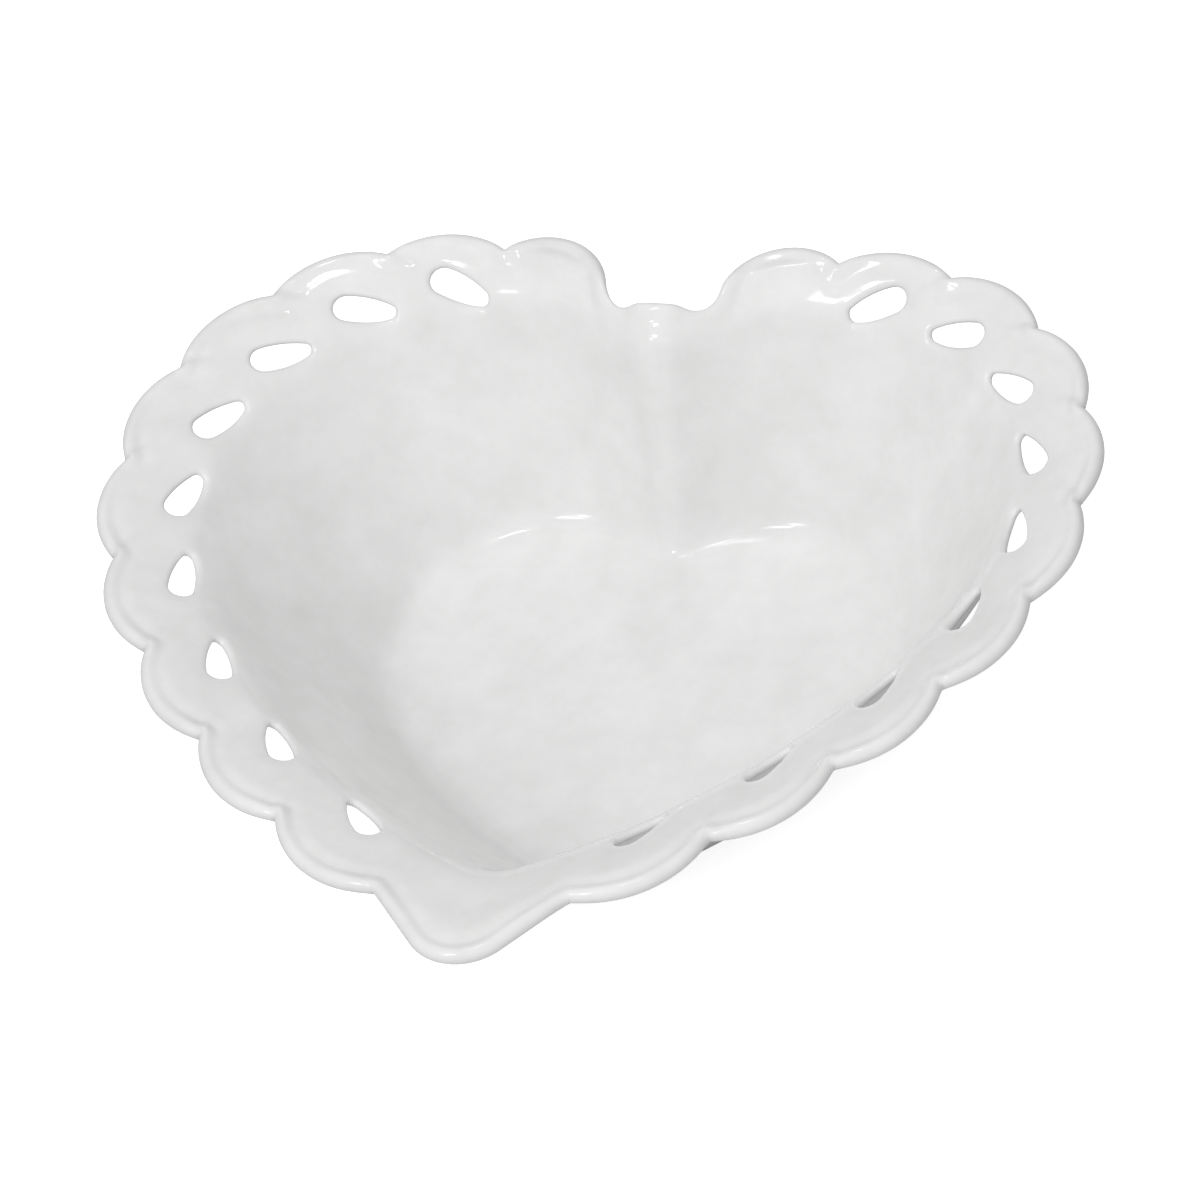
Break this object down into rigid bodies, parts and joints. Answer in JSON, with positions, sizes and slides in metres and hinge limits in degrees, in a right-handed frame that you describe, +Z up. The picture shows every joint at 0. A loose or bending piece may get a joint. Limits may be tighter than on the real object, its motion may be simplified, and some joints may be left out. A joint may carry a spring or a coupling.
{
  "type": "heart-shaped trinket dish",
  "caption": "Open heart-shaped trinket dish in white glazed ceramic, with a flared, scalloped border pierced by teardrop holes and a low foot ring.",
  "frame": {"origin": "middle of the dish's overall outline, on the plane that the foot ring rests on", "axes": "+X across the two lobes, +Y from the tip towards the cleft, +Z up out of the dish"},
  "size_m": [0.1978, 0.1816, 0.0515],
  "materials": {
    "glaze": "glossy white glaze",
    "bare_foot": "bare fired body, wiped clean of glaze where it rests"
  },
  "bodies": {
    "root": {"pierced_border": "glaze", "bowl_wall": "glaze", "bowl_floor": "glaze", "foot_ring": "bare_foot"}
  },
  "joints": []
}
